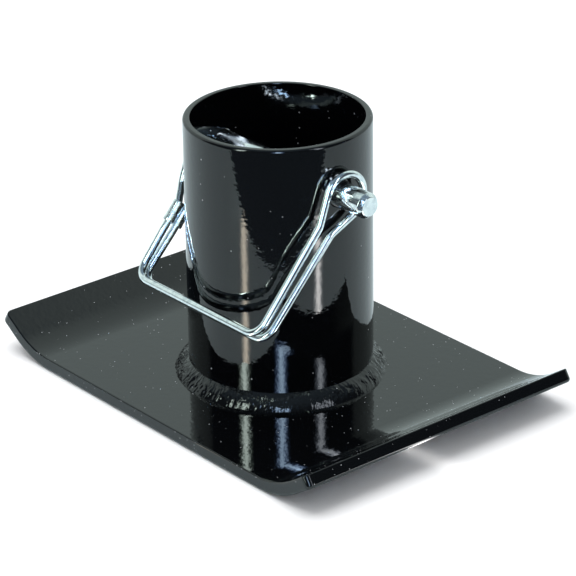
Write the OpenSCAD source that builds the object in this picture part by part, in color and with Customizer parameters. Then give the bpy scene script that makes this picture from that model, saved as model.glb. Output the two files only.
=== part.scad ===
// Pinned pole socket foot: a bent steel plate with a welded tube, a cross pin and a
// wire bail that keeps the pin in. Millimetres. The origin is under the tube's axis on
// the plate's underside, +Z is up, +X runs along the pin from its head to its tip and
// +Y runs along the plate's bends.

/* [Base plate] */
// Length of the plate before its ends are bent
blank_l = 152.4; // [145:0.2:180]
// Width of the plate, along its bends
plate_w = 104.8; // [90:0.2:130]
// Thickness of the plate
plate_t = 4.2; // [3:0.1:5]
// Angle that each end is turned up by, in degrees
end_angle = 33; // [15:1:38]
// Inside radius of each bend
bend_r = 27; // [15:0.5:30]
// Straight length of each turned-up end, past its bend
end_l = 8; // [5:0.5:12]
// Radius of the plate's four corners, seen from above
corner_r = 2; // [1:0.5:6]

/* [Socket tube] */
// Outside diameter of the tube
tube_d = 57.2; // [56:0.1:58]
// Inside diameter of the tube, which takes a 50.8 mm pole
tube_bore_d = 52.8; // [51.5:0.1:54]
// Length of the tube, from the plate's top to its rim
tube_l = 83; // [70:0.5:110]
// Leg of the fillet weld between tube and plate
weld_leg = 4.4; // [3:0.1:6]

/* [Lock pin] */
// Diameter of the pin
pin_d = 7.94; // [6:0.01:8.2]
// Depth of the pin's axis below the tube's rim
pin_drop = 16.6; // [14:0.1:30]
// How far the pin's tip stands out of the tube
pin_tip_out = 13.1; // [11:0.1:20]
// Length of the chamfer on the pin's tip
pin_chamfer = 1.3; // [0.5:0.1:2]
// Diameter of the pin's end face, inside the chamfer
pin_face_d = 6; // [4:0.1:6]
// Distance from the cross hole's axis to the tube, at the pin's head end
pivot_out = 2.8; // [2.5:0.1:6]
// Length of pin past the cross hole
pin_head_l = 4; // [4:0.1:4.4]
// Length of the chamfer on the pin's head end
head_chamfer = 1.2; // [1:0.1:1.4]

/* [Bail] */
// Diameter of the bail's wire
wire_d = 2.4; // [2:0.1:2.6]
// Angle of the bail at rest, from hanging straight down
bail_hang = 42; // [41:1:80]
// Distance from the pin's axis to the bail's cross run
bail_reach = 49.1; // [48:0.1:60]
// Distance from the tube's axis to the bail's leg at the pin's tip
tip_leg_x = 30.8; // [30.4:0.1:33]
// Distance from the tube's axis to the bail's leg at the pin's head
head_leg_x = 27.6; // [27.5:0.1:28]
// Bend radius of the bail's two corners, to the wire's centre
bail_corner_r = 5; // [4:0.5:7]
// Radius of the loop over the pin's tip, to the wire's centre
loop_r = 7.1; // [6.6:0.1:9]
// Distance from the pin's axis to where the two wires part
loop_start = 12; // [11:0.1:14]
// Angle from square to the bail that the cross hole is drilled at, so that the
// opened bail swings clear of the tube
hinge_skew = 14; // [13:1:15]

/* [Ferrules] */
// Outside diameter of each crimp sleeve
ferrule_d = 3.7; // [3.4:0.1:3.7]
// Length of each crimp sleeve
ferrule_l = 7; // [5:0.1:8]
// Distance from the pin's axis to the middle of each sleeve
ferrule_reach = 26.3; // [26:0.1:30]

/* [Hidden] */
$fn = 96;

paint = [0.03, 0.03, 0.035];
zinc = [0.78, 0.81, 0.85];
steel = [0.7, 0.72, 0.75];

// Room that a cut takes past the face it leaves
over = 1;
// Radial gap between the pin and the tube's holes
pin_gap = 0.1;
// Radial gap between the hinge wire and the pin's cross hole
hinge_gap = 0.08;
// Gap between the bail's wire and a sleeve's bore, all round
sleeve_gap = 0.02;

// The plate's flat half length, and how far each end reaches out
end_arc = end_angle * PI / 180;
flat_half = blank_l / 2 - (bend_r + plate_t / 2) * end_arc - end_l;
end_reach = flat_half + (bend_r + plate_t) * sin(end_angle) + end_l * cos(end_angle);
// Height that is well over both turned-up ends
end_rise = 40;
bend_steps = 12;

tube_r = tube_d / 2;
rim_z = plate_t + tube_l;
pin_z = rim_z - pin_drop;
pin_tip_x = tube_r + pin_tip_out;
pivot_x = -tube_r - pivot_out;
pin_head_x = pivot_x - pin_head_l;

wire_r = wire_d / 2;
wire_sides = 16;

// Half the spacing of the two wires: at the sleeves, at the corner by the head,
// at the corner by the tip, and where the loop starts
spread_sleeve = 1.9;
spread_head = 1.3;
spread_tip = 2.1;
spread_loop = 2.8;

// Half length of the hinge wire's straight middle, just past the cross hole's ends
hinge_half = 4;
// Where the hinge wire's two corners stand, from the pin's axis, and their bend radius
hinge_spread = 6.4;
hinge_corner_r = 2;
// How far a bent end runs back into the straight middle of the hinge wire, and how
// much thinner it is there, so that the two solids join cleanly
joint_lap = 0.5;
joint_step = 0.02;
// Centre of the loop, from the pin's axis towards the cross run
loop_centre = 0.3;

// ---- Wire routes -------------------------------------------------------------
// A route is a list of [x, y, z, bend radius] in the bail's own frame: x along the
// pin, y across the bail's plane and z up when the bail hangs straight down.

function unit(v) = v / norm(v);
function xyz(p) = [p[0], p[1], p[2]];

// Points of the round bend at corner b, between the straight runs from a and to c
function bend(a, b, c, r, steps) =
    let (
        u = unit(a - b),
        w = unit(c - b),
        half = acos(u * w) / 2,
        run = r / tan(half),
        axis = unit(u + w),
        centre = b + axis * r / sin(half),
        start = b + u * run - centre,
        side = unit(cross(cross(start, b + w * run - centre), start)) * r
    )
    [for (i = [0 : steps])
        let (t = i / steps * (180 - 2 * half))
        centre + start * cos(t) + side * sin(t)];

// A whole route with each inner corner rounded
function rounded(route, steps) = [
    xyz(route[0]),
    for (i = [1 : len(route) - 2])
        each bend(xyz(route[i - 1]), xyz(route[i]), xyz(route[i + 1]), route[i][3], steps),
    xyz(route[len(route) - 1])
];

function along(p, i) =
    unit(p[min(i + 1, len(p) - 1)] - p[max(i - 1, 0)]);

// One side vector for each point, carried along the path without twisting
function side_vectors(p, i = 0, last = [1, 0, 0]) =
    i >= len(p) ? [] :
    let (
        t = along(p, i),
        s = unit(last - t * (last * t))
    )
    concat([s], side_vectors(p, i + 1, s));

// A round wire swept along a list of points
module wire(path, r) {
    s = side_vectors(path);
    n = len(path);
    rings = [for (i = [0 : n - 1])
        let (u = s[i], v = cross(along(path, i), u))
        for (k = [0 : wire_sides - 1])
            let (a = 360 * k / wire_sides)
            path[i] + r * (u * cos(a) + v * sin(a))];
    sides = [for (i = [0 : n - 2], k = [0 : wire_sides - 1])
        let (
            k2 = (k + 1) % wire_sides,
            a = i * wire_sides,
            b = a + wire_sides
        )
        [a + k, b + k, b + k2, a + k2]];
    first = [[for (k = [0 : wire_sides - 1]) k]];
    end = [[for (k = [wire_sides - 1 : -1 : 0]) (n - 1) * wire_sides + k]];
    polyhedron(points = rings, faces = concat(first, sides, end), convexity = 8);
}

// The bail's frame: origin on the pin's axis, turned to the angle it rests at
module bail_frame() {
    translate([0, 0, pin_z]) rotate([-bail_hang, 0, 0]) children();
}

// The cross hole's frame inside the bail's: +Z runs back along the hole's axis, from a
// point that is start past the pin's axis
module hinge_frame(start) {
    rotate([-hinge_skew, 0, 0]) translate([pivot_x, start, 0]) rotate([90, 0, 0]) children();
}

// Half of the bail, from inside a sleeve to the loop; side is -1 or 1
function half_bail(side) = [
    [-head_leg_x, side * spread_sleeve, -ferrule_reach - 0.1, 0],
    [-head_leg_x, side * spread_sleeve, -ferrule_reach - ferrule_l / 2 - 2, 6],
    [-head_leg_x, side * spread_head, -bail_reach, bail_corner_r],
    [tip_leg_x, side * spread_tip, -bail_reach, bail_corner_r],
    [tip_leg_x, side * spread_loop, -loop_start, 4],
    [tip_leg_x, side * loop_tangent[0], loop_tangent[1], 0]
];

// Where a straight wire from the loop's start touches the loop's circle
loop_drop = loop_start - loop_centre;
loop_far = norm([spread_loop, loop_drop]);
loop_turn = acos(loop_r / loop_far) + atan2(spread_loop, loop_drop);
loop_tangent = [loop_r * sin(loop_turn), -loop_centre - loop_r * cos(loop_turn)];

loop_steps = 20;
loop_arc = [for (i = [1 : loop_steps - 1])
    let (t = -loop_turn - i / loop_steps * (360 - 2 * loop_turn))
    [tip_leg_x, loop_r * sin(t), -loop_centre - loop_r * cos(t)]];

function reversed(list) = [for (i = [len(list) - 1 : -1 : 0]) list[i]];

bail_path = concat(
    rounded(half_bail(-1), 6),
    loop_arc,
    reversed(rounded(half_bail(1), 6)));

// A route point on the cross hole's axis, y from the pin's axis
function on_hinge(y, r) = [pivot_x, y * cos(hinge_skew), -y * sin(hinge_skew), r];

// Half of the hinge wire's bent end, from the cross hole to inside a sleeve
function half_hinge(side) = [
    on_hinge(side * (hinge_half - joint_lap), 0),
    on_hinge(side * hinge_spread, hinge_corner_r),
    side < 0 ? [pivot_x, -6.8, -5, 5] : [pivot_x, 5.2, -8, 5],
    [pivot_x + 1.2, side * (spread_sleeve + 0.9), -17, 3],
    [-head_leg_x, side * spread_sleeve, -ferrule_reach + ferrule_l / 2 - 0.6, 1.6],
    [-head_leg_x, side * spread_sleeve, -ferrule_reach + 0.1, 0]
];

// ---- Pieces ------------------------------------------------------------------

// The plate's outline seen from above, with round corners
module plate_outline() {
    square([2 * (end_reach - corner_r), plate_w], center = true);
    square([2 * end_reach, plate_w - 2 * corner_r], center = true);
    for (x = [-1, 1], y = [-1, 1])
        translate([x * (end_reach - corner_r), y * (plate_w / 2 - corner_r)])
            circle(r = corner_r);
}

// Height profile of one face of the plate towards +X: flat, round bend, straight end.
// r is that face's own bend radius and z its height where it is flat.
function face_line(r, z) = [
    for (i = [0 : bend_steps])
        let (a = end_angle * i / bend_steps)
        [flat_half + r * sin(a), z + r * (1 - cos(a))],
    [flat_half + r * sin(end_angle) + end_l * cos(end_angle),
        z + r * (1 - cos(end_angle)) + end_l * sin(end_angle)]
];

function mirrored(line) = [for (p = line) [-p[0], p[1]]];

module base_plate() {
    under = face_line(bend_r + plate_t, 0);
    top = face_line(bend_r, plate_t);
    color(paint)
        intersection() {
            translate([0, plate_w / 2, 0])
                rotate([90, 0, 0])
                    linear_extrude(plate_w)
                        polygon(concat(reversed(mirrored(under)), under, reversed(top), mirrored(top)));
            linear_extrude(end_rise) plate_outline();
        }
}

module socket_tube() {
    color(paint)
        difference() {
            translate([0, 0, plate_t]) cylinder(d = tube_d, h = tube_l);
            translate([0, 0, plate_t - over]) cylinder(d = tube_bore_d, h = tube_l + 2 * over);
            translate([-tube_d, 0, pin_z])
                rotate([0, 90, 0]) cylinder(d = pin_d + 2 * pin_gap, h = 2 * tube_d);
        }
}

module weld_bead() {
    color(paint)
        translate([0, 0, plate_t])
            rotate_extrude()
                translate([tube_r, 0])
                    intersection() {
                        circle(r = weld_leg);
                        square(weld_leg);
                    }
}

module lock_pin() {
    shank_l = pin_tip_x - pin_chamfer - pin_head_x - head_chamfer;
    color(zinc)
        bail_frame()
            difference() {
                translate([pin_head_x, 0, 0])
                    rotate([0, 90, 0]) {
                        cylinder(d1 = pin_d - 2 * head_chamfer, d2 = pin_d, h = head_chamfer);
                        translate([0, 0, head_chamfer]) cylinder(d = pin_d, h = shank_l);
                        translate([0, 0, head_chamfer + shank_l])
                            cylinder(d1 = pin_d, d2 = pin_face_d, h = pin_chamfer);
                    }
                hinge_frame(pin_d) cylinder(d = wire_d + 2 * hinge_gap, h = 2 * pin_d);
            }
}

module bail_wire() {
    color(zinc) bail_frame() wire(bail_path, wire_r);
}

module bail_hinge_wire() {
    color(steel)
        bail_frame() {
            hinge_frame(hinge_half) cylinder(r = wire_r, h = 2 * hinge_half);
            for (side = [-1, 1])
                wire(rounded(half_hinge(side), 6), wire_r - joint_step);
        }
}

module ferrule(side) {
    color(steel)
        bail_frame()
            translate([-head_leg_x, side * spread_sleeve, -ferrule_reach - ferrule_l / 2])
                difference() {
                    cylinder(d = ferrule_d, h = ferrule_l);
                    translate([0, 0, -over])
                        cylinder(r = wire_r + sleeve_gap, h = ferrule_l + 2 * over);
                }
}

module ferrule_upper() { ferrule(-1); }
module ferrule_lower() { ferrule(1); }

base_plate();
socket_tube();
weld_bead();
lock_pin();
bail_wire();
bail_hinge_wire();
ferrule_upper();
ferrule_lower();
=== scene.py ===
"""Pole socket foot: a bent steel plate, a welded tube, a cross pin and its wire bail.

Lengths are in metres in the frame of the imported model: +Z is up, +X runs along the pin
from its head to its tip and +Y runs along the plate's two bends.
"""
import logging
import math
from collections.abc import Callable, Iterable, Sequence
from dataclasses import dataclass, field
from enum import Enum
from typing import Any

import bmesh
import bpy
from mathutils import Matrix, Vector, noise


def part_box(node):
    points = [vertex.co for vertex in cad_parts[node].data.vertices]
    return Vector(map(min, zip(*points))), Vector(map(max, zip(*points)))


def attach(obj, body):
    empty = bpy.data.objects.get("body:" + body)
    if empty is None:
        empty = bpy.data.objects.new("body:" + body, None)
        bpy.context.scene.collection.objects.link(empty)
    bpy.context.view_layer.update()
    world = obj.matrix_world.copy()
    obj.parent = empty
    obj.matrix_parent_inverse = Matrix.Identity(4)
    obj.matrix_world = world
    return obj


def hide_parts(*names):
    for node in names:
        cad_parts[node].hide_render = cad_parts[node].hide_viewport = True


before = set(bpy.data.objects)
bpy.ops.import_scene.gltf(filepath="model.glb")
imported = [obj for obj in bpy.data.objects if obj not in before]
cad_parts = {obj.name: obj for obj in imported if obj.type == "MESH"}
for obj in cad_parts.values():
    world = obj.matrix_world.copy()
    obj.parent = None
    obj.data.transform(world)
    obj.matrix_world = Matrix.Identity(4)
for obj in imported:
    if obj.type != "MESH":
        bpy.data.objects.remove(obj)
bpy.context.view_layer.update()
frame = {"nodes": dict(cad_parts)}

MM = 0.001
TOUCH = 0.01 * MM   # places nearer than this count as the same one
MERGE = 0.002 * MM  # vertices nearer than this are merged
FACING = 0.99       # least dot product of a normal and the direction it faces
RGB = tuple[float, float, float]
RGBA = tuple[float, float, float, float]
Object, Material = bpy.types.Object, bpy.types.Material
Node, Socket, Tree = bpy.types.Node, bpy.types.NodeSocket, bpy.types.NodeTree
Vert, Edge, Face = bmesh.types.BMVert, bmesh.types.BMEdge, bmesh.types.BMFace
log = logging.getLogger("pole_socket_foot")


# ---- Working in edit mode ------------------------------------------------------

class Part(Enum):
    """The kinds of mesh element that can be picked."""

    VERT = "verts"
    EDGE = "edges"
    FACE = "faces"


class Body(Enum):
    """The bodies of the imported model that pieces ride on."""

    FOOT = "foot"
    PIN = "pin"
    BAIL = "bail"


def deselect_all() -> None:
    """Leaves nothing selected, so that the next operator acts on new work only."""
    if bpy.context.object and bpy.context.object.mode != "OBJECT":
        bpy.ops.object.mode_set(mode="OBJECT")
    bpy.ops.object.select_all(action="DESELECT")


def activate(obj: Object) -> None:
    """Makes one object the only selected one, and the active one."""
    deselect_all()
    obj.select_set(True)
    bpy.context.view_layer.objects.active = obj


def new_from(operator: Callable[..., Any], name: str, **sizes: Any) -> Object:
    """Adds a primitive at its size and place, with its transform in its mesh.

    Args:
        operator: one of bpy.ops.mesh's primitive operators.
        name: what the new object is called.
        sizes: the operator's own settings.

    Returns:
        The new object, active and in object mode.
    """
    deselect_all()
    operator(**sizes)
    obj = bpy.context.object
    obj.name = name
    obj.data.name = name
    bpy.ops.object.transform_apply(location=True, rotation=True, scale=True)
    return obj


def edit(obj: Object) -> None:
    """Opens one object in edit mode."""
    activate(obj)
    bpy.ops.object.mode_set(mode="EDIT")


def pick(part: Part, test: Callable[[Any], bool]) -> int:
    """Selects only the elements of the open mesh that pass a test.

    Args:
        part: the kind of element to go through.
        test: takes a bmesh vertex, edge or face and says whether it is wanted.

    Returns:
        How many elements are selected.
    """
    bpy.ops.mesh.select_mode(type=part.name)
    bpy.ops.mesh.select_all(action="DESELECT")
    data = bpy.context.object.data
    mesh = bmesh.from_edit_mesh(data)
    wanted = [item for item in getattr(mesh, part.value) if test(item)]
    for item in wanted:
        item.select_set(True)
    bmesh.update_edit_mesh(data)
    return len(wanted)


def centre_of(edge: Edge) -> Vector:
    """Middle of an edge."""
    return (edge.verts[0].co + edge.verts[1].co) / 2


def select_everything() -> None:
    """Selects the whole of the open mesh."""
    bpy.ops.mesh.select_all(action="SELECT")


def middle_of(node: str) -> Vector:
    """Middle of a CAD node's box."""
    low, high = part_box(node)
    return (low + high) / 2


def extrude(travel: Vector) -> None:
    """Extrudes what is selected along a straight line."""
    bpy.ops.mesh.extrude_region_move(TRANSFORM_OT_translate={"value": tuple(travel)})


def move_picked(shift: Callable[[Vector], Vector]) -> None:
    """Moves each selected vertex of the open mesh to where shift puts it."""
    data = bpy.context.object.data
    mesh = bmesh.from_edit_mesh(data)
    for vert in mesh.verts:
        if vert.select:
            vert.co = shift(vert.co)
    bmesh.update_edit_mesh(data)


def round_edges(test: Callable[[Any], bool], width: float, segments: int = 6) -> None:
    """Rounds the edges of the open mesh that pass a test.

    Args:
        test: takes a bmesh edge and says whether it is wanted.
        width: how far each rounded edge reaches, in metres.
        segments: facets across each rounded edge.
    """
    pick(Part.EDGE, test)
    bpy.ops.mesh.bevel(offset=width, segments=segments, affect="EDGES")


def mend() -> None:
    """Merges doubles in the open mesh and turns its faces outwards."""
    select_everything()
    bpy.ops.mesh.remove_doubles(threshold=MERGE)
    bpy.ops.mesh.normals_make_consistent(inside=False)


def close_shell() -> None:
    """Mends the open mesh and leaves edit mode."""
    mend()
    bpy.ops.object.mode_set(mode="OBJECT")


def apply_modifier(obj: Object, kind: str, **settings: Any) -> None:
    """Adds one modifier with these settings and applies it."""
    activate(obj)
    modifier = obj.modifiers.new(kind.title(), kind)
    for key, value in settings.items():
        setattr(modifier, key, value)
    bpy.ops.object.modifier_apply(modifier=modifier.name)


def soften(obj: Object, width: float, segments: int = 3, angle: float = 35) -> None:
    """Rounds the sharp edges of a piece and keeps its wide faces true.

    Args:
        obj: the piece.
        width: how far each rounded edge reaches, in metres.
        segments: facets across each rounded edge.
        angle: edges sharper than this many degrees are rounded.
    """
    apply_modifier(obj, "BEVEL", width=width, segments=segments, limit_method="ANGLE",
                   angle_limit=math.radians(angle), miter_outer="MITER_ARC")
    smooth(obj)


def smooth(obj: Object) -> None:
    """Shades a piece smooth, with normals that follow its largest faces."""
    activate(obj)
    bpy.ops.object.shade_smooth_by_angle(angle=math.radians(40))
    apply_modifier(obj, "WEIGHTED_NORMAL", weight=100, keep_sharp=True)


# ---- Wire ----------------------------------------------------------------------

@dataclass(frozen=True)
class Straight:
    """A straight stretch of wire."""

    travel: Vector


@dataclass(frozen=True)
class Bend:
    """A round bend in a wire, turned about an axis through a centre."""

    centre: Vector
    axis: Vector
    angle: float


@dataclass(frozen=True)
class Corner:
    """A corner of a wire's route, with the bend radius there; 0 at the two ends."""

    place: Vector
    radius: float = 0.0


def route_moves(corners: Sequence[Corner]) -> list[Straight | Bend]:
    """Turns a route of corners into straight stretches and round bends.

    Args:
        corners: the route, from its first end to its last.

    Returns:
        The moves that draw it, starting at the first corner's place.
    """
    moves: list[Straight | Bend] = []
    here = corners[0].place
    for before, corner, after in zip(corners, corners[1:], corners[2:]):
        back = (before.place - corner.place).normalized()
        ahead = (after.place - corner.place).normalized()
        half = back.angle(ahead) / 2
        run = corner.radius / math.tan(half)
        start = corner.place + back * run
        middle = corner.place + (back + ahead).normalized() * corner.radius / math.sin(half)
        axis = (start - middle).cross(corner.place + ahead * run - middle).normalized()
        moves.append(Straight(start - here))
        moves.append(Bend(middle, axis, math.pi - 2 * half))
        here = corner.place + ahead * run
    moves.append(Straight(corners[-1].place - here))
    return moves


@dataclass
class RoundWire:
    """Round wire that is drawn by extruding and spinning one ring."""

    radius: float
    sides: int = 28
    step: float = math.radians(6)

    def draw(self, name: str, start: Vector, moves: Sequence[Straight | Bend]) -> Object:
        """Draws one length of wire.

        Args:
            name: what the piece is called.
            start: the middle of its first end.
            moves: its stretches and bends; the first is straight.

        Returns:
            The closed, smooth piece.
        """
        heading = moves[0].travel.normalized()
        turn = heading.to_track_quat("Z", "Y").to_euler()
        wire = new_from(bpy.ops.mesh.primitive_circle_add, name, vertices=self.sides,
                        radius=self.radius, fill_type="NOTHING", location=start, rotation=turn)
        edit(wire)
        bpy.ops.mesh.select_mode(type="VERT")
        select_everything()
        for move in moves:
            if isinstance(move, Straight):
                extrude(move.travel)
            else:
                steps = max(3, math.ceil(move.angle / self.step))
                bpy.ops.mesh.spin(steps=steps, angle=-move.angle, center=move.centre, axis=move.axis)
        select_everything()
        bpy.ops.mesh.fill_holes(sides=0)
        close_shell()
        activate(wire)
        bpy.ops.object.shade_smooth_by_angle(angle=math.radians(50))
        return wire


# ---- Shader nodes --------------------------------------------------------------

def fill(tree: Tree, node: Node, values: dict[str, Any]) -> None:
    """Fills a node's inputs.

    Args:
        tree: the node tree it is in.
        node: the node.
        values: input name or number to an output socket to link, or to a plain value.
    """
    for key, value in values.items():
        inlet = node.inputs[int(key) if key.isdigit() else key]
        if isinstance(value, Socket):
            tree.links.new(value, inlet)
        else:
            inlet.default_value = value


def add_node(tree: Tree, kind: str, values: dict[str, Any] | None = None,
             **settings: Any) -> Node:
    """Adds a node and fills its inputs.

    Args:
        tree: the node tree it goes in.
        kind: the node's type, without its ShaderNode prefix.
        values: what its inputs get; see fill.
        settings: the node's own properties.

    Returns:
        The new node.
    """
    node = tree.nodes.new(f"ShaderNode{kind}")
    for key, value in settings.items():
        setattr(node, key, value)
    fill(tree, node, values or {})
    return node


def maths(tree: Tree, operation: str, *values: Any) -> Socket:
    """Adds a Math node and gives its result."""
    inputs = {str(index): value for index, value in enumerate(values)}
    return add_node(tree, "Math", inputs, operation=operation).outputs[0]


def mix(tree: Tree, share: Socket, first: Any,
        second: Any) -> Socket:
    """Mixes two colours.

    Args:
        tree: the node tree.
        share: how much of the second colour shows.
        first: the colour where share is 0.
        second: the colour where share is 1.

    Returns:
        The mixed colour.
    """
    inputs = {"Factor": share, "6": first, "7": second}
    return add_node(tree, "Mix", inputs, data_type="RGBA").outputs[2]


def ramp(tree: Tree, value: Socket, span: Sequence[Any] = (0.0, 1.0),
         levels: Sequence[Any] = (0.0, 1.0), kind: str = "LINEAR") -> Socket:
    """Maps one range of a value to another, and holds it at the ends.

    Args:
        tree: the node tree.
        value: the value.
        span: where the ramp starts and ends.
        levels: what comes out at the start and at the end.
        kind: LINEAR, or SMOOTHSTEP for a soft start and end.

    Returns:
        The mapped value.
    """
    inputs = {"Value": value, "From Min": span[0], "From Max": span[1],
              "To Min": levels[0], "To Max": levels[1]}
    return add_node(tree, "MapRange", inputs, interpolation_type=kind).outputs["Result"]


def object_place(tree: Tree) -> Socket:
    """The shaded point's place on the piece itself."""
    return add_node(tree, "TexCoord").outputs["Object"]


# ---- Node groups that the finishes share ---------------------------------------

@dataclass
class GroupMaker:
    """Starts one shader node group, with its named inputs and outputs."""

    name: str
    inputs: dict[str, float | RGBA]
    outputs: dict[str, str]
    tree: Tree = field(init=False)
    inlet: Node = field(init=False)
    outlet: Node = field(init=False)

    def __post_init__(self) -> None:
        """Makes the group and its sockets; an input of four numbers is a colour."""
        self.tree = bpy.data.node_groups.new(self.name, "ShaderNodeTree")
        for name, start in self.inputs.items():
            kind = "Color" if isinstance(start, tuple) else "Float"
            made = self.tree.interface.new_socket(
                name=name, in_out="INPUT", socket_type=f"NodeSocket{kind}")
            made.default_value = start
        for name, kind in self.outputs.items():
            self.tree.interface.new_socket(
                name=name, in_out="OUTPUT", socket_type=f"NodeSocket{kind}")
        self.inlet = self.tree.nodes.new("NodeGroupInput")
        self.outlet = self.tree.nodes.new("NodeGroupOutput")

    def given(self, name: str) -> Socket:
        """The value that the group is given under this name."""
        return self.inlet.outputs[name]

    def give(self, name: str, value: Socket) -> None:
        """Puts a value out under this name."""
        fill(self.tree, self.outlet, {name: value})


def make_orange_peel() -> Tree:
    """Builds the group that ripples a sprayed surface: long waves and a fine grain.

    Returns:
        The group, with Wave, Grain and Depth inputs and a Normal output.
    """
    group = GroupMaker("orange_peel", {"Wave": 520.0, "Grain": 2600.0, "Depth": 0.01 * MM},
                       {"Normal": "Vector"})
    tree, where, grain_share = group.tree, object_place(group.tree), 0.12
    wave = add_node(tree, "TexNoise", {"Vector": where, "Scale": group.given("Wave"),
                                       "Detail": 1.5, "Roughness": 0.45})
    grain = add_node(tree, "TexNoise", {"Vector": where, "Scale": group.given("Grain"),
                                        "Detail": 0.0})
    height = maths(tree, "MULTIPLY_ADD", grain.outputs["Fac"], grain_share, wave.outputs["Fac"])
    bump = add_node(tree, "Bump", {"Height": height, "Strength": 1.0,
                                   "Distance": group.given("Depth")})
    group.give("Normal", bump.outputs["Normal"])
    return tree


def make_dust() -> Tree:
    """Builds the group that scatters small round specks over a surface.

    Returns:
        The group, with Scale, Radius and Share inputs and a Mask output.
    """
    group = GroupMaker("dust_specks", {"Scale": 340.0, "Radius": 0.06, "Share": 0.6},
                       {"Mask": "Float"})
    tree = group.tree
    cells = add_node(tree, "TexVoronoi", {"Vector": object_place(tree),
                                          "Scale": group.given("Scale")})
    draw = add_node(tree, "SeparateColor", {"Color": cells.outputs["Color"]})
    reach = maths(tree, "MULTIPLY", draw.outputs["Green"], group.given("Radius"))
    inside = maths(tree, "LESS_THAN", cells.outputs["Distance"], reach)
    chosen = maths(tree, "LESS_THAN", draw.outputs["Red"], group.given("Share"))
    group.give("Mask", maths(tree, "MULTIPLY", inside, chosen))
    return tree


def make_mottle() -> Tree:
    """Builds the group that varies a metal's colour and roughness in soft patches.

    Returns:
        The group, with Scale, two colours and a roughness range in, Color and
        Roughness out.
    """
    group = GroupMaker("zinc_mottle", {
        "Scale": 300.0, "Light": (0.8, 0.83, 0.86, 1), "Dark": (0.6, 0.66, 0.72, 1),
        "Smooth": 0.1, "Rough": 0.25}, {"Color": "Color", "Roughness": "Float"})
    tree = group.tree
    patches = add_node(tree, "TexNoise", {"Vector": object_place(tree),
                                          "Scale": group.given("Scale"),
                                          "Detail": 4.0, "Roughness": 0.6})
    spread = ramp(tree, patches.outputs["Fac"], (0.32, 0.68), kind="SMOOTHSTEP")
    group.give("Color", mix(tree, spread, group.given("Light"), group.given("Dark")))
    group.give("Roughness", ramp(tree, spread,
                                 levels=(group.given("Smooth"), group.given("Rough"))))
    return tree


@dataclass
class SharedGroups:
    """The node groups, each built once."""

    peel: Tree = field(default_factory=make_orange_peel)
    dust: Tree = field(default_factory=make_dust)
    mottle: Tree = field(default_factory=make_mottle)


def new_material(name: str) -> tuple[Material, Tree, Node]:
    """Makes a material with a Principled shader.

    Args:
        name: the finish's name.

    Returns:
        The material, its node tree and its Principled node.
    """
    material = bpy.data.materials.new(name)
    material.use_nodes = True
    tree = material.node_tree
    return material, tree, tree.nodes["Principled BSDF"]


def place_group(tree: Tree, group: Tree,
                values: dict[str, Any]) -> Node:
    """Places a shared group in a material with its own values.

    Args:
        tree: the material's node tree.
        group: the shared group.
        values: input name to value.

    Returns:
        The group node.
    """
    node = tree.nodes.new("ShaderNodeGroup")
    node.node_tree = group
    fill(tree, node, values)
    return node


# ---- Finishes ------------------------------------------------------------------

@dataclass(frozen=True)
class GlossPaint:
    """Sprayed black gloss enamel, with orange peel and light grey specks that are partly settled
    dust and partly painted glints of paint nibs.
    """

    name: str
    wave: float = 610.0
    depth: float = 0.028 * MM
    roughness: float = 0.04
    speck: float = 0.1
    share: float = 0.6
    spacing: float = 420.0
    colour: RGBA = (0.0012, 0.0014, 0.0018, 1)
    dust: RGBA = (0.42, 0.44, 0.46, 1)
    dust_roughness: float = 0.6
    index: float = 1.5

    def make(self, groups: SharedGroups) -> Material:
        """Builds the material.

        Args:
            groups: the shared node groups.

        Returns:
            The finished material.
        """
        material, tree, shader = new_material(self.name)
        specks = place_group(tree, groups.dust, {
            "Scale": self.spacing, "Radius": self.speck, "Share": self.share}).outputs["Mask"]
        peel = place_group(tree, groups.peel, {"Wave": self.wave, "Depth": self.depth})
        # The light grey specks are partly dust and partly painted highlights that stand in for
        # glints of paint nibs.
        fill(tree, shader, {
            "Base Color": mix(tree, specks, self.colour, self.dust),
            "Roughness": ramp(tree, specks, levels=(self.roughness, self.dust_roughness)),
            "Normal": peel.outputs["Normal"], "IOR": self.index})
        return material


@dataclass(frozen=True)
class ZincPlate:
    """Bright zinc plating with a faint blue cast."""

    name: str
    light: RGBA = (0.86, 0.9, 0.9, 1)
    dark: RGBA = (0.62, 0.69, 0.72, 1)
    smooth: float = 0.06
    rough: float = 0.15
    patch: float = 420.0
    wave: float = 900.0
    grain: float = 4200.0
    depth: float = 0.004 * MM

    def make(self, groups: SharedGroups) -> Material:
        """Builds the material.

        Args:
            groups: the shared node groups.

        Returns:
            The finished material.
        """
        material, tree, shader = new_material(self.name)
        mottle = place_group(tree, groups.mottle, {
            "Scale": self.patch, "Light": self.light, "Dark": self.dark,
            "Smooth": self.smooth, "Rough": self.rough})
        peel = place_group(tree, groups.peel, {
            "Wave": self.wave, "Grain": self.grain, "Depth": self.depth})
        fill(tree, shader, {
            "Base Color": mottle.outputs["Color"], "Roughness": mottle.outputs["Roughness"],
            "Normal": peel.outputs["Normal"], "Metallic": 1.0})
        return material


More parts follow.
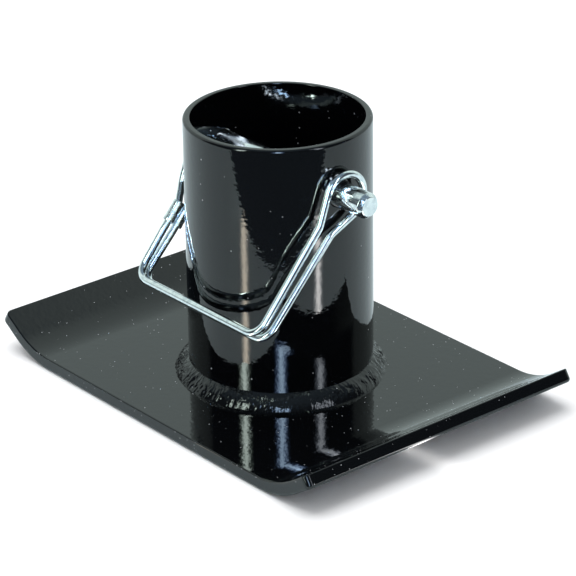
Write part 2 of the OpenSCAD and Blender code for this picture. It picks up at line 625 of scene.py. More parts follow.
@dataclass
class Finishes:
    """Every finish on the foot, built once."""

    groups: SharedGroups = field(default_factory=SharedGroups)
    tube_paint: Material = field(init=False)
    plate_paint: Material = field(init=False)
    weld_paint: Material = field(init=False)
    pin_zinc: Material = field(init=False)
    wire_zinc: Material = field(init=False)
    sleeve_zinc: Material = field(init=False)

    def __post_init__(self) -> None:
        """Builds the materials."""
        self.tube_paint = GlossPaint("black_gloss_tube").make(self.groups)
        self.plate_paint = GlossPaint("black_gloss_plate", spacing=900.0, speck=0.16,
                                      share=0.22).make(self.groups)
        self.weld_paint = GlossPaint("black_weld_paint", wave=1300.0, depth=0.045 * MM,
                                     roughness=0.07).make(self.groups)
        self.pin_zinc = ZincPlate("bright_zinc_pin", smooth=0.1, rough=0.24).make(self.groups)
        self.wire_zinc = ZincPlate("bright_zinc_wire", patch=600.0).make(self.groups)
        self.sleeve_zinc = ZincPlate("satin_zinc_sleeve", smooth=0.16, rough=0.3,
                                     light=(0.88, 0.9, 0.89, 1)).make(self.groups)


def dress(obj: Object, material: Material, body: Body,
          nodes: Iterable[str]) -> None:
    """Gives a finished piece its material and body, and hides the CAD nodes it stands for.

    Args:
        obj: the piece.
        material: its finish.
        body: the body that it rides on.
        nodes: the CAD nodes that it replaces.
    """
    obj.data.materials.clear()
    obj.data.materials.append(material)
    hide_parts(*nodes)
    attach(obj, body.value)
    log.info("%s: %d faces, on %s", obj.name, len(obj.data.polygons), body.value)


# ---- The foot ------------------------------------------------------------------

@dataclass
class BasePlate:
    """The rectangular plate, with both ends bent up."""

    thickness: float = 4.2 * MM
    end_angle: float = math.radians(33)
    bend_radius: float = 27 * MM
    end_length: float = 8 * MM
    corner_radius: float = 2 * MM
    edge_round: float = 0.4 * MM
    under_round: float = 1.1 * MM
    bend_steps: int = 22
    arris_angle: float = 1.0
    downward: float = -0.6

    def build(self) -> Object:
        """Models the plate: a flat block whose two ends are spun up and drawn out.

        Returns:
            The plate, inside its CAD node's box.
        """
        low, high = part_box("base_plate")
        bend_reach = (self.bend_radius + self.thickness) * math.sin(self.end_angle)
        flat_half = high.x - bend_reach - self.end_length * math.cos(self.end_angle)
        width = high.y - low.y
        plate = new_from(bpy.ops.mesh.primitive_cube_add, "foot_plate", size=1,
                         location=(0, 0, self.thickness / 2),
                         scale=(2 * flat_half, width, self.thickness))
        edit(plate)
        for side in (1, -1):
            self.bend_end(side, flat_half)
        round_edges(lambda edge: self.is_corner(edge, high.x, width / 2), self.corner_radius)
        mend()
        round_edges(self.is_under_arris, self.under_round)
        close_shell()
        soften(plate, self.edge_round)
        return plate

    def bend_end(self, side: int, flat_half: float) -> None:
        """Bends up one end of the open plate and draws out its straight part.

        Args:
            side: 1 for the +X end, -1 for the -X end.
            flat_half: half length of the flat part.
        """
        pick(Part.FACE, lambda face: face.normal.x * side > FACING)
        bpy.ops.mesh.spin(steps=self.bend_steps, angle=side * self.end_angle,
                          center=(side * flat_half, 0, self.thickness + self.bend_radius),
                          axis=(0, 1, 0))
        extrude(Vector((side * math.cos(self.end_angle), 0, math.sin(self.end_angle)))
                * self.end_length)

    def is_under_arris(self, edge: Edge) -> bool:
        """Tells whether an edge borders the plate's underside."""
        falls = sorted(face.normal.z for face in edge.link_faces)
        return (len(falls) == 2 and falls[0] < self.downward
                and edge.calc_face_angle() > self.arris_angle)

    def is_corner(self, edge: Edge, reach: float, half_width: float) -> bool:
        """Tells whether an edge is one of the four corners that are rounded off.

        Args:
            edge: an edge of the open plate.
            reach: how far the plate reaches along X.
            half_width: half its width along Y.

        Returns:
            True for the short edges through the thickness at both ends.
        """
        middle = centre_of(edge)
        short = abs(edge.calc_length() - self.thickness) < TOUCH
        return (short and abs(middle.x) > reach - self.thickness
                and abs(middle.y) > half_width - TOUCH)


@dataclass
class SocketTube:
    """The upright tube, with a cross hole through both of its walls."""

    bore_radius: float = 26.4 * MM
    hole_radius: float = 4.07 * MM
    columns: int = 192
    pitch: float = 0.93 * MM
    cells: int = 8
    ring_cuts: int = 4
    rim_outside: float = 0.9 * MM
    rim_inside: float = 0.3 * MM
    hole_round: float = 0.3 * MM
    outer_radius: float = field(init=False)
    foot_z: float = field(init=False)
    rim_z: float = field(init=False)
    pin_z: float = field(init=False)

    def __post_init__(self) -> None:
        """Reads the tube's size and the pin's height from their CAD nodes."""
        low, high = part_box("socket_tube")
        self.outer_radius, self.foot_z, self.rim_z = high.x, low.z, high.z
        self.pin_z = middle_of("lock_pin").z

    @property
    def mid_wall(self) -> float:
        """Radius halfway through the tube's wall."""
        return (self.outer_radius + self.bore_radius) / 2

    def build(self) -> Object:
        """Models the tube: two skins with true round holes, joined edge to edge.

        Returns:
            The tube, inside its CAD node's box.
        """
        outer = self.skin("socket_tube_skin", self.outer_radius)
        inner = self.skin("socket_tube_bore", self.bore_radius)
        activate(outer)
        inner.select_set(True)
        bpy.ops.object.join()
        outer.name = "socket"
        edit(outer)
        self.wall_between(lambda place: place.z > self.rim_z - TOUCH, self.onto_bore)
        self.wall_between(lambda place: place.z < self.foot_z + TOUCH, self.onto_bore)
        for side in (1, -1):
            self.wall_between(lambda place, side=side: self.near_hole(place, side),
                              lambda place, side=side: self.onto_skin(place, side, self.bore_radius))
        mend()
        self.round_rim()
        close_shell()
        smooth(outer)
        return outer

    def wall_between(self, test: Callable[[Vector], bool],
                     shift: Callable[[Vector], Vector]) -> None:
        """Draws an open loop of the outer skin in until it meets the inner skin's.

        Args:
            test: takes a place and says whether the loop runs there.
            shift: moves a place of the outer loop to the inner one.
        """
        pick(Part.EDGE, lambda edge: edge.is_boundary and test(centre_of(edge))
             and math.hypot(edge.verts[0].co.x, edge.verts[0].co.y) > self.mid_wall)
        extrude(Vector())
        move_picked(shift)

    def onto_bore(self, place: Vector) -> Vector:
        """Moves a place straight in to the bore's radius."""
        scale = self.bore_radius / math.hypot(place.x, place.y)
        return Vector((place.x * scale, place.y * scale, place.z))

    def onto_skin(self, place: Vector, side: int, radius: float) -> Vector:
        """Moves a place along X to a skin of one radius, on one side."""
        return Vector((side * math.sqrt(radius ** 2 - place.y ** 2), place.y, place.z))

    def round_rim(self) -> None:
        """Rounds the rim's edges and the pin holes'; the foot's stay sharp, under the weld."""

        def outside(vert: Vert) -> bool:
            """Tells whether a vertex is on the outer half of the wall."""
            return math.hypot(vert.co.x, vert.co.y) > self.mid_wall

        def on_rim(edge: Edge, outer: bool) -> bool:
            """Tells whether an edge is the rim's outer or inner one."""
            return all(vert.co.z > self.rim_z - TOUCH and outside(vert) == outer
                       for vert in edge.verts)

        def on_hole(edge: Edge) -> bool:
            """Tells whether an edge runs round the end of a pin hole."""
            reach = max(math.hypot(vert.co.y, vert.co.z - self.pin_z) for vert in edge.verts)
            return (reach < self.hole_radius + 2 * TOUCH
                    and outside(edge.verts[0]) == outside(edge.verts[1]))

        round_edges(lambda edge: on_rim(edge, True), self.rim_outside)
        round_edges(lambda edge: on_rim(edge, False), self.rim_inside, 4)
        round_edges(on_hole, self.hole_round, 3)

    def near_hole(self, place: Vector, side: int) -> bool:
        """Tells whether a place is in the window round the hole on one side."""
        reach = (self.cells + 0.5) * self.pitch
        return place.x * side > 0 and abs(place.y) < reach and abs(place.z - self.pin_z) < reach

    def skin(self, name: str, radius: float) -> Object:
        """Models one cylindrical skin with a round hole on each side.

        Args:
            name: the skin's name.
            radius: its radius.

        Returns:
            The open skin.
        """
        height = self.rim_z - self.foot_z
        skin = new_from(bpy.ops.mesh.primitive_cylinder_add, name, vertices=self.columns,
                        radius=radius, depth=height, end_fill_type="NOTHING",
                        location=(0, 0, self.foot_z + height / 2))
        edit(skin)
        for row in range(-self.cells, self.cells + 1):
            select_everything()
            bpy.ops.mesh.bisect(plane_co=(0, 0, self.pin_z + row * self.pitch), plane_no=(0, 0, 1))
        for side in (1, -1):
            self.open_hole(side, radius)
        bpy.ops.object.mode_set(mode="OBJECT")
        return skin

    def open_hole(self, side: int, radius: float) -> None:
        """Cuts a window in the open skin and fills it in round a true circle.

        Args:
            side: 1 for the pin's tip side, -1 for its head side.
            radius: the skin's radius.
        """
        slice_angle = self.cells * 2 * math.pi / self.columns

        def in_window(face: Face) -> bool:
            """Tells whether a face is in the window."""
            middle = face.calc_center_median()
            return (abs(math.atan2(middle.y, side * middle.x)) < slice_angle
                    and abs(middle.z - self.pin_z) < self.cells * self.pitch)

        def onto_skin(place: Vector) -> Vector:
            """Puts a place on this skin."""
            return self.onto_skin(place, side, radius)

        pick(Part.FACE, in_window)
        bpy.ops.mesh.delete(type="FACE")
        bpy.ops.mesh.select_mode(type="VERT")
        bpy.ops.mesh.select_all(action="DESELECT")
        bpy.ops.mesh.primitive_circle_add(vertices=8 * self.cells, radius=self.hole_radius,
                                          fill_type="NOTHING", location=(0, 0, self.pin_z),
                                          rotation=(0, math.pi / 2, 0))
        move_picked(onto_skin)
        pick(Part.EDGE, lambda edge: (len(edge.link_faces) < 2
                                      and self.near_hole(centre_of(edge), side)))
        bpy.ops.mesh.bridge_edge_loops(number_cuts=self.ring_cuts, interpolation="LINEAR")
        pick(Part.VERT, lambda vert: self.near_hole(vert.co, side))
        move_picked(onto_skin)


@dataclass
class WeldBead:
    """The fillet weld round the tube's foot, laid in overlapping ripples."""

    steps: int = 1320
    arc_steps: int = 72
    ripples: int = 112
    ripple_height: float = 0.85 * MM
    wander: float = 0.55 * MM
    fullness: float = 0.5
    calm_bearing: float = math.radians(-34)
    calm: float = 0.08
    crest: float = 0.1
    lap: float = 1.6
    pit_depth: float = 0.15 * MM

    def build(self) -> Object:
        """Models the bead: a quarter-round profile spun round the tube and rippled.

        Returns:
            The closed ring.
        """
        tube_low, tube_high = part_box("socket_tube")
        plate_top, tube_radius = tube_low.z, tube_high.x
        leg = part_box("weld_bead")[1].x - tube_radius
        bead = new_from(bpy.ops.mesh.primitive_circle_add, "weld", vertices=self.arc_steps,
                        radius=leg, fill_type="NOTHING", location=(tube_radius, 0, plate_top),
                        rotation=(math.pi / 2, 0, 0))
        edit(bead)
        pick(Part.VERT, lambda vert: (vert.co.x < tube_radius - TOUCH
                                      or vert.co.z < plate_top - TOUCH))
        bpy.ops.mesh.delete(type="VERT")
        select_everything()
        bpy.ops.mesh.spin(steps=self.steps, angle=2 * math.pi, center=(0, 0, 0), axis=(0, 0, 1))
        select_everything()
        bpy.ops.mesh.remove_doubles(threshold=MERGE)
        self.ripple(tube_radius, plate_top, leg)
        pick(Part.EDGE, lambda edge: edge.is_boundary)
        bpy.ops.mesh.bridge_edge_loops()
        close_shell()
        activate(bead)
        bpy.ops.object.shade_smooth_by_angle(angle=math.radians(60))
        return bead

    def ripple(self, tube_radius: float, plate_top: float, leg: float) -> None:
        """Raises the ripples and lets the bead's two toes wander a little.

        Args:
            tube_radius: the tube's outer radius.
            plate_top: height of the plate's flat top.
            leg: the bead's width and height.
        """
        def shaped(place: Vector) -> Vector:
            """Moves one point of the bead in or out across its section."""
            turn = math.atan2(place.y, place.x)
            slope = math.atan2(place.z - plate_top, math.hypot(place.x, place.y) - tube_radius)
            share = slope / (math.pi / 2)
            crown = math.sin(math.pi * min(1.0, max(0.0, share)))
            bearing = Vector((math.cos(turn), math.sin(turn), 0))
            lively = self.calm + (1 - self.calm) * math.sin((turn - self.calm_bearing) / 2) ** 2
            lively = min(1.0, lively * (1.1 + 0.7 * noise.noise(bearing * 3.1)))
            along = turn * self.ripples / (2 * math.pi) + self.lap * (share - 0.45) ** 2
            along += 1.1 * noise.noise(bearing * 8.0)
            coarse = noise.noise(Vector((0.8 * along, share * 1.9, 3.7)))
            fine = noise.noise(Vector((1.7 * along, share * 6.0, 8.1)))
            ridge = 0.45 - 1.6 * abs(coarse) - 1.0 * abs(fine)
            behind = (along / self.lap) % 1.0
            ridge += 0.2 * (behind ** 2 - 1) * (1 + 1.2 * noise.noise(bearing * 17.0))
            wave = min(self.crest, ridge - 0.1) * self.ripple_height * lively * (0.4 + 0.6 * crown)
            drift = (noise.noise(bearing * 5.0) - 0.45) * 0.4 * self.wander
            lumps = noise.noise(Vector((bearing.x, bearing.y, share * 0.12)) * 13.0)
            knots = noise.noise(Vector((bearing.x, bearing.y, share * 0.1)) * 34.0)
            pits = (lumps + 0.45 * knots - 0.9) * self.pit_depth * crown
            flat = 1 / (math.cos(slope) + math.sin(slope))
            full = flat + (1 - flat) * self.fullness
            grown = leg * full + wave + pits + drift
            out, up = math.cos(slope) * grown, math.sin(slope) * grown
            return bearing * (tube_radius + out) + Vector((0, 0, plate_top + up))

        select_everything()
        move_picked(shaped)


# ---- The pin and its bail -------------------------------------------------------

@dataclass
class LockPin:
    """The cross pin, chamfered at both ends and drilled for the bail."""

    head_chamfer: float = 1.2 * MM
    tip_chamfer: float = 1.3 * MM
    tip_face_radius: float = 3 * MM
    edge_round: float = 0.14 * MM
    sides: int = 96
    pivot_x: float = -31.4 * MM
    hole_radius: float = 1.28 * MM
    hole_tilt: float = math.radians(56)

    def build(self) -> Object:
        """Models the pin: a round bar whose ends are drawn out, drawn in and drilled.

        Returns:
            The pin, inside its CAD node's box.
        """
        low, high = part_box("lock_pin")
        radius = (high.y - low.y) / 2
        pin_z = middle_of("lock_pin").z
        start = low.x + self.head_chamfer
        end = high.x - self.tip_chamfer
        pin = new_from(bpy.ops.mesh.primitive_cylinder_add, "pin", vertices=self.sides,
                       radius=radius, depth=end - start, location=((start + end) / 2, 0, pin_z),
                       rotation=(0, math.pi / 2, 0))
        edit(pin)
        for side, length, face in ((1, self.tip_chamfer, self.tip_face_radius),
                                   (-1, self.head_chamfer, radius - self.head_chamfer)):
            pick(Part.FACE, lambda item, side=side: item.normal.x * side > FACING)
            extrude(Vector((side * length, 0, 0)))
            bpy.ops.transform.resize(value=(1, face / radius, face / radius))
        close_shell()
        soften(pin, self.edge_round, segments=3, angle=25)
        self.drill(pin, pin_z, radius)
        return pin

    def drill(self, pin: Object, pin_z: float, radius: float) -> None:
        """Drills the cross hole that the hinge wire turns in.

        Args:
            pin: the undrilled pin.
            pin_z: height of the pin's axis.
            radius: the pin's radius.
        """
        drill = new_from(bpy.ops.mesh.primitive_cylinder_add, "drill", vertices=48,
                         radius=self.hole_radius, depth=4 * radius,
                         location=(self.pivot_x, 0, pin_z),
                         rotation=(math.pi / 2 - self.hole_tilt, 0, 0))
        apply_modifier(pin, "BOOLEAN", object=drill, operation="DIFFERENCE", solver="EXACT")
        bpy.data.objects.remove(drill)


@dataclass
class WireBail:
    """The wire bail: a doubled wire that loops over the pin's tip, and its hinge."""

    wire_radius: float = 1.2 * MM
    hang: float = math.radians(42)
    reach: float = 49.1
    tip_leg: float = 30.8
    head_leg: float = 27.6
    corner: float = 5.0
    loop_radius: float = 7.1
    loop_start: float = 12.0
    loop_centre: float = 0.3
    spread_sleeve: float = 1.9
    spread_head: float = 1.3
    spread_tip: float = 2.1
    spread_loop: float = 2.8
    pivot: float = 31.4
    hinge_spread: float = 6.4
    hinge_skew: float = math.radians(14)
    sleeve_reach: float = 26.3
    sleeve_half: float = 3.5
    frame: Matrix = field(init=False)

    def __post_init__(self) -> None:
        """Finds the bail's own frame on the pin's axis."""
        self.frame = (Matrix.Translation((0, 0, middle_of("lock_pin").z))
                      @ Matrix.Rotation(-self.hang, 4, "X"))

    @property
    def loop_turn(self) -> float:
        """How far round the loop's circle each leg meets it, from its foot."""
        rise = self.loop_start - self.loop_centre
        return (math.acos(self.loop_radius / math.hypot(self.spread_loop, rise))
                + math.atan2(self.spread_loop, rise))

    def at(self, x: float, y: float, z: float) -> Vector:
        """A place in the shared frame, from millimetres in the bail's own frame."""
        return self.frame @ (Vector((x, y, z)) * MM)

    def corner_at(self, x: float, y: float, z: float, radius: float = 0.0) -> Corner:
        """A route corner, from millimetres in the bail's own frame."""
        return Corner(self.at(x, y, z), radius * MM)

    def half_route(self, side: int) -> list[Corner]:
        """The bail's route on one side, from inside its sleeve to the loop.

        Args:
            side: -1 for the front wire, 1 for the back wire.

        Returns:
            The corners, the last one where the loop's circle starts.
        """
        turn = self.loop_turn
        sleeve_end = -self.sleeve_reach - self.sleeve_half
        return [
            self.corner_at(-self.head_leg, side * self.spread_sleeve, 0.1 - self.sleeve_reach),
            self.corner_at(-self.head_leg, side * self.spread_sleeve, sleeve_end - 2, 6),
            self.corner_at(-self.head_leg, side * self.spread_head, -self.reach, self.corner),
            self.corner_at(self.tip_leg, side * self.spread_tip, -self.reach, self.corner),
            self.corner_at(self.tip_leg, side * self.spread_loop, -self.loop_start, 4),
            self.corner_at(self.tip_leg, side * self.loop_radius * math.sin(turn),
                           -self.loop_centre - self.loop_radius * math.cos(turn)),
        ]

    def build_loop(self) -> Object:
        """Models the doubled wire, from one sleeve round the loop to the other."""
        front, back = self.half_route(-1), self.half_route(1)
        centre = self.at(self.tip_leg, 0, -self.loop_centre)
        axis = self.frame.to_3x3() @ Vector((-1, 0, 0))
        over_tip = Bend(centre, axis, 2 * math.pi - 2 * self.loop_turn)
        moves = [*route_moves(front), over_tip, *route_moves(back[::-1])]
        return RoundWire(self.wire_radius).draw("bail_loop", front[0].place, moves)

    def hinge_route(self, side: int) -> list[Corner]:
        """The hinge wire's route on one side, from the cross hole into its sleeve."""
        across = side * self.hinge_spread
        kink = (-6.8, -5.0) if side < 0 else (5.2, -8.0)
        sleeve_top = self.sleeve_half - 0.6 - self.sleeve_reach
        return [
            self.corner_at(-self.pivot, across * math.cos(self.hinge_skew),
                           -across * math.sin(self.hinge_skew), 2),
            self.corner_at(-self.pivot, *kink, 5),
            self.corner_at(1.2 - self.pivot, side * (self.spread_sleeve + 0.9), -17, 3),
            self.corner_at(-self.head_leg, side * self.spread_sleeve, sleeve_top, 1.6),
            self.corner_at(-self.head_leg, side * self.spread_sleeve, 0.1 - self.sleeve_reach),
        ]

    def build_hinge(self) -> Object:
        """Models the hinge wire, from one sleeve through the cross hole to the other."""
        route = [*self.hinge_route(-1)[::-1], *self.hinge_route(1)]
        return RoundWire(self.wire_radius - 0.02 * MM).draw(
            "bail_hinge", route[0].place, route_moves(route))


@dataclass
class CrimpSleeve:
    """A short sleeve crimped over the two wire ends."""

    name: str
    node: str
    radius: float = 1.85 * MM
    bore: float = 1.22 * MM
    length: float = 7 * MM
    hang: float = math.radians(42)
    pinch: float = 0.955
    pinch_reach: float = 0.32
    edge_round: float = 0.12 * MM

    def build(self) -> Object:
        """Models the sleeve: a drawn cup with a pinched body and a lip at each end.

        Returns:
            The sleeve, inside its CAD node's box.
        """
        middle = middle_of(self.node)
        along = Matrix.Rotation(-self.hang, 3, "X") @ Vector((0, 0, 1))
        sleeve = new_from(bpy.ops.mesh.primitive_cylinder_add, self.name, vertices=48,
                          radius=self.radius, depth=self.length, location=middle,
                          rotation=(-self.hang, 0, 0))
        edit(sleeve)
        for place in (-0.36, -0.3, 0.0, 0.3, 0.36):
            select_everything()
            bpy.ops.mesh.bisect(plane_co=middle + along * self.length * place, plane_no=along)
        for side in (1, -1):
            pick(Part.FACE, lambda face, side=side: face.normal.dot(along) * side > FACING)
            bpy.ops.mesh.inset(thickness=self.radius - self.bore)
            extrude(along * side * -0.5 * MM)

        def pinched(place: Vector) -> Vector:
            """Draws one point of the body in towards the sleeve's axis."""
            rise = (place - middle).dot(along)
            on_axis = middle + along * rise
            in_bore = (place - on_axis).length < 0.98 * self.radius
            if in_bore or abs(rise) > self.pinch_reach * self.length:
                return place
            return on_axis + (place - on_axis) * self.pinch

        select_everything()
        move_picked(pinched)
        close_shell()
        soften(sleeve, self.edge_round, segments=2, angle=40)
        return sleeve


# ---- The studio ------------------------------------------------------------------

@dataclass
class Studio:
    """The pale table, its dark surround, the strip lights and the camera."""

    camera_place: Vector = field(default_factory=lambda: Vector((0.66786, -0.55166, 0.43117)))
    yaw: float = math.radians(50.285)
    pitch: float = math.radians(24.844)
    roll: float = math.radians(-0.787)
    lens: float = 194.6
    sensor_width: float = 36.0
    nearest: float = 0.01
    table_edge: float = 0.136
    table_size: float = 8.0
    room_size: tuple[float, float] = (6.0, 3.0)
    room_glow: RGB = (0.1, 0.13, 0.16)
    strip_size: tuple[float, float] = (0.6, 1.5)
    strip_distance: float = 1.5
    strip_height: float = 0.8
    strip_direct: float = 0.16
    core_power: float = 2.6
    streak_spread: float = math.radians(9.5)
    streak_reach: tuple[float, float] = (0.045, 0.16)
    streak_back: float = 0.012
    key_place: RGB = (-0.35, -0.1, 1.7)
    key_size: float = 1.6
    key_power: float = 26.0

    def build(self) -> None:
        """Sets up the whole studio."""
        bpy.context.scene.view_settings.view_transform = "Standard"
        self.add_camera()
        self.add_table()
        self.add_dark_room()
        self.add_world()
        self.add_key()
        for name, bearing, edge, core, strength in (
            ("strip_left", -46.0, (0.75, 1.0, 0.85), (0.85, 1.0, 0.92), 75.0),
            ("strip_middle", 0.0, (0.2, 0.4, 1.0), (0.55, 0.76, 1.0), 72.0),
            ("strip_right", 49.0, (0.6, 0.75, 1.0), (0.85, 0.92, 1.0), 36.0),
        ):
            self.add_strip(name, math.radians(bearing), edge, core, strength)
        # Painted highlights: glowing cards stand in for the strip lights' streaks on the table.
        for name, bearing, colour, strength in (
            ("streak_left", -43.6, (1.0, 0.86, 0.68), 8.0),
            ("streak_right", 47.5, (1.0, 0.97, 0.95), 11.0),
        ):
            self.add_streak(name, math.radians(bearing), colour, strength)

    @property
    def towards_camera(self) -> Vector:
        """Level direction from the foot to the camera."""
        return Vector((math.sin(self.yaw), -math.cos(self.yaw), 0))

    def add_camera(self) -> None:
        """Adds the camera, level with its own roll, and makes it the scene's."""
        ahead = Vector((-math.sin(self.yaw) * math.cos(self.pitch),
                        math.cos(self.yaw) * math.cos(self.pitch), -math.sin(self.pitch)))
        right = Vector((math.cos(self.yaw), math.sin(self.yaw), 0))
        up = right.cross(ahead)
        turned_right = right * math.cos(self.roll) + up * math.sin(self.roll)
        turned_up = up * math.cos(self.roll) - right * math.sin(self.roll)
        data = bpy.data.cameras.new("camera")
        data.lens = self.lens
        data.sensor_width = self.sensor_width
        data.clip_start = self.nearest
        camera = bpy.data.objects.new("camera", data)
        bpy.context.collection.objects.link(camera)
        axes = Matrix((turned_right, turned_up, -ahead)).transposed()
        camera.matrix_world = Matrix.Translation(self.camera_place) @ axes.to_4x4()
        bpy.context.scene.camera = camera

    def plain_card(self, name: str, size: tuple[float, float], material: Material) -> Object:
        """Adds a flat card that lies level at the origin and isn't part of the foot.

        Args:
            name: the card's name.
            size: its two sides.
            material: what it is made of.

        Returns:
            The card.
        """
        deselect_all()
        bpy.ops.mesh.primitive_plane_add(size=1)
        card = bpy.context.object
        card.name = name
        card.scale = (*size, 1)
        card.data.materials.append(material)
        return card

    def mirror_only(self, card: Object) -> None:
        """Shows a card in reflections only."""
        for ray in ("camera", "diffuse", "shadow", "transmission"):
            setattr(card, f"visible_{ray}", False)

    def add_table(self) -> None:
        """Adds the pale table; glossy rays see it in a colour of its own, dimmer and bluish, a
        painted reflection of the lit table.
        """
        material, tree, shader = new_material("pale_table")
        # Painted reflection: glossy rays get a dimmer bluish table colour.
        mirrored = add_node(tree, "LightPath").outputs["Is Glossy Ray"]
        fill(tree, shader, {
            "Base Color": mix(tree, mirrored, (0.92, 0.92, 0.92, 1), (0.64, 0.75, 0.77, 1)),
            "Roughness": 0.6, "Specular IOR Level": 0.1})
        table = self.plain_card("table", (self.table_size, self.table_size), material)
        table.location.z = -0.05 * MM

    def add_dark_room(self) -> None:
        """Adds a faintly glowing card beyond the table's front edge that only reflections see: a
        painted dark reflection where the table gives way to the dark room.
        """
        material, tree, outlet = self.new_glow("room_glow")
        # Painted reflection: the card glows faintly, though it is no lamp.
        light = add_node(tree, "Emission", {"Color": (*self.room_glow, 1), "Strength": 1.0})
        fill(tree, outlet, {"Surface": light.outputs[0]})
        room = self.plain_card("dark_room", self.room_size, material)
        room.rotation_euler.z = self.yaw
        room.location = self.towards_camera * (self.table_edge + self.room_size[1] / 2)
        room.location.z = 0.1 * MM
        self.mirror_only(room)

    def new_glow(self, name: str) -> tuple[Material, Tree, Node]:
        """Starts a glowing material that is seen but isn't sampled as a lamp.

        Args:
            name: the material's name.

        Returns:
            The material, its node tree and its output node.
        """
        material = bpy.data.materials.new(name)
        material.use_nodes = True
        material.cycles.emission_sampling = "NONE"
        tree = material.node_tree
        tree.nodes.clear()
        return material, tree, add_node(tree, "OutputMaterial")

    def glow(self, name: str, edge: RGB, core: RGB, strength: float, fan: float = 0.0,
             direct: float = 1.0) -> Material:
        """Makes a clear card's material that glows down its middle.

        Args:
            name: the material's name.
            edge: its colour along the card's two long sides, where it fades out.
            core: its colour down the card's middle.
            strength: its brightness in the middle.
            fan: half the angle that a fan-shaped card spreads from its origin, or 0.
            direct: share of its brightness that shows in a single mirroring.

        Returns:
            The material.
        """
        material, tree, outlet = self.new_glow(name)
        where = add_node(tree, "SeparateXYZ", {"Vector": object_place(tree)}).outputs
        across = maths(tree, "ABSOLUTE", where["X"])
        if fan:
            tangent = maths(tree, "DIVIDE", across, where["Y"])
            across = maths(tree, "MULTIPLY", tangent, 0.5 / math.tan(fan))
        fade = ramp(tree, across, (0.0, 0.5), (1.0, 0.0), "SMOOTHSTEP")
        power = maths(tree, "MULTIPLY", maths(tree, "POWER", fade, self.core_power), strength)
        bounce = add_node(tree, "LightPath").outputs["Ray Depth"]
        shown = maths(tree, "MULTIPLY", power, ramp(tree, bounce, (1.0, 2.0), (direct, 1.0)))
        light = add_node(tree, "Emission", {"Color": mix(tree, fade, (*edge, 1), (*core, 1)),
                                            "Strength": shown})
        clear = add_node(tree, "BsdfTransparent")
        both = add_node(tree, "AddShader", {"0": clear.outputs[0], "1": light.outputs[0]})
        fill(tree, outlet, {"Surface": both.outputs[0]})
        return material

    def add_strip(self, name: str, bearing: float, edge: RGB, core: RGB, strength: float) -> None:
        """Stands one tall strip light in front of the table.

        Args:
            name: the strip's name.
            bearing: its direction from the camera's, anticlockwise seen from above.
            edge: its colour at its sides.
            core: its colour down its middle.
            strength: its brightness.
        """
        material = self.glow(name, edge, core, strength, direct=self.strip_direct)
        strip = self.plain_card(name, self.strip_size, material)
        level = Matrix.Rotation(bearing, 3, "Z") @ self.towards_camera
        strip.location = level * self.strip_distance + Vector((0, 0, self.strip_height))
        strip.rotation_euler = (-level).to_track_quat("Z", "Y").to_euler()
        self.mirror_only(strip)

    def add_streak(self, name: str, bearing: float, colour: RGB, strength: float) -> None:
        """Lays a glowing card on the table beside the foot that only reflections see: a painted
        highlight for one strip light's bright streak.

        Args:
            name: the streak's name.
            bearing: its direction from the camera's, anticlockwise seen from above.
            colour: its colour.
            strength: its brightness.
        """
        dim = (0.9 * colour[0], 0.95 * colour[1], colour[2])
        glow = self.glow(name, dim, colour, strength, fan=self.streak_spread)
        streak = self.plain_card(name, (1, 1), glow)
        near, far = self.streak_reach
        edit(streak)
        select_everything()

        def fanned(place: Vector) -> Vector:
            """Puts one corner of the card on the fan."""
            reach = far if place.y > 0 else near
            return Vector((math.copysign(reach * math.tan(self.streak_spread), place.x), reach, 0))

        move_picked(fanned)
        bpy.ops.object.mode_set(mode="OBJECT")
        tube_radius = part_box("socket_tube")[1].x
        level = Matrix.Rotation(bearing, 3, "Z") @ self.towards_camera
        facing = Matrix.Rotation(bearing / 2, 3, "Z") @ self.towards_camera
        streak.location = facing * tube_radius - level * self.streak_back
        streak.location.z = 0.05 * MM
        streak.rotation_euler.z = math.atan2(level.y, level.x) - math.pi / 2
        self.mirror_only(streak)

    def add_key(self) -> None:
        """Adds the soft overhead light, which isn't seen in reflections."""
        data = bpy.data.lights.new("key", "AREA")
        data.shape = "SQUARE"
        data.size = self.key_size
        data.energy = self.key_power
        key = bpy.data.objects.new("key", data)
        bpy.context.collection.objects.link(key)
        key.location = self.key_place
        key.rotation_euler = (-key.location).to_track_quat("-Z", "Y").to_euler()
        key.visible_glossy = False

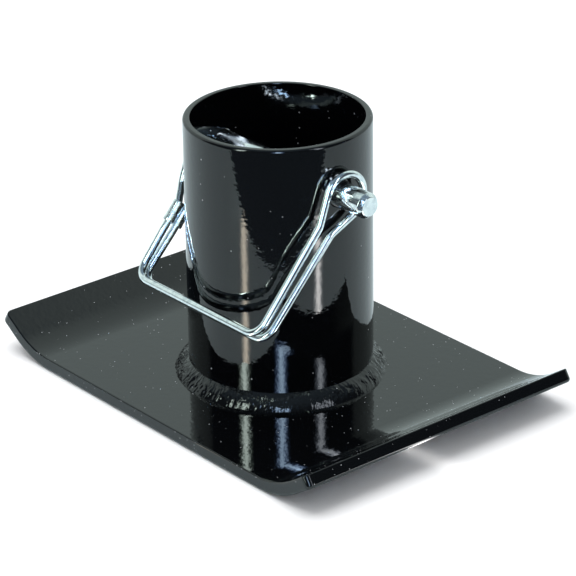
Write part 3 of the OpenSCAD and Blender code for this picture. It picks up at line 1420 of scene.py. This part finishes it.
    def add_world(self) -> None:
        """Lights the set, and puts a bright backdrop behind it and a dark room in front.

        Only reflections see the backdrop, its dark ceiling and the room; all else is lit by
        one soft white.
        """
        world = bpy.data.worlds.new("studio")
        world.use_nodes = True
        tree = world.node_tree
        tree.nodes.clear()
        bpy.context.scene.world = world
        look = add_node(tree, "TexCoord").outputs["Generated"]
        behind = add_node(tree, "VectorMath", {"0": look, "1": -self.towards_camera},
                          operation="DOT_PRODUCT").outputs["Value"]
        height = add_node(tree, "SeparateXYZ", {"Vector": look}).outputs["Z"]
        backdrop = maths(tree, "MULTIPLY", ramp(tree, behind, (0.08, 0.24), kind="SMOOTHSTEP"),
                         ramp(tree, height, (0.82, 0.93), (1.0, 0.0), "SMOOTHSTEP"))
        dark = mix(tree, ramp(tree, height, (0.5, 0.9), kind="SMOOTHSTEP"),
                   (0.06, 0.075, 0.09, 1), (0.2, 0.27, 0.33, 1))
        mirrored = mix(tree, backdrop, dark, (0.76, 0.9, 0.88, 1))
        glossy = add_node(tree, "LightPath").outputs["Is Glossy Ray"]
        light = add_node(tree, "Background", {
            "Color": mix(tree, glossy, (0.75, 0.76, 0.78, 1), mirrored), "Strength": 1.0})
        outlet = add_node(tree, "OutputWorld")
        fill(tree, outlet, {"Surface": light.outputs[0]})


def main() -> None:
    """Builds every sub-assembly, dresses it and sets up the studio."""
    logging.basicConfig(level=logging.INFO, format="%(name)s: %(message)s")
    finishes = Finishes()
    dress(BasePlate().build(), finishes.plate_paint, Body.FOOT, ["base_plate"])
    dress(SocketTube().build(), finishes.tube_paint, Body.FOOT, ["socket_tube"])
    dress(WeldBead().build(), finishes.weld_paint, Body.FOOT, ["weld_bead"])
    dress(LockPin().build(), finishes.pin_zinc, Body.PIN, ["lock_pin"])
    bail = WireBail()
    dress(bail.build_loop(), finishes.wire_zinc, Body.BAIL, ["bail_wire"])
    dress(bail.build_hinge(), finishes.wire_zinc, Body.BAIL, ["bail_hinge_wire"])
    for name, node in (("sleeve_upper", "ferrule_upper"), ("sleeve_lower", "ferrule_lower")):
        dress(CrimpSleeve(name, node).build(), finishes.sleeve_zinc, Body.BAIL,
              [node])
    Studio().build()


if __name__ == "__main__":
    main()
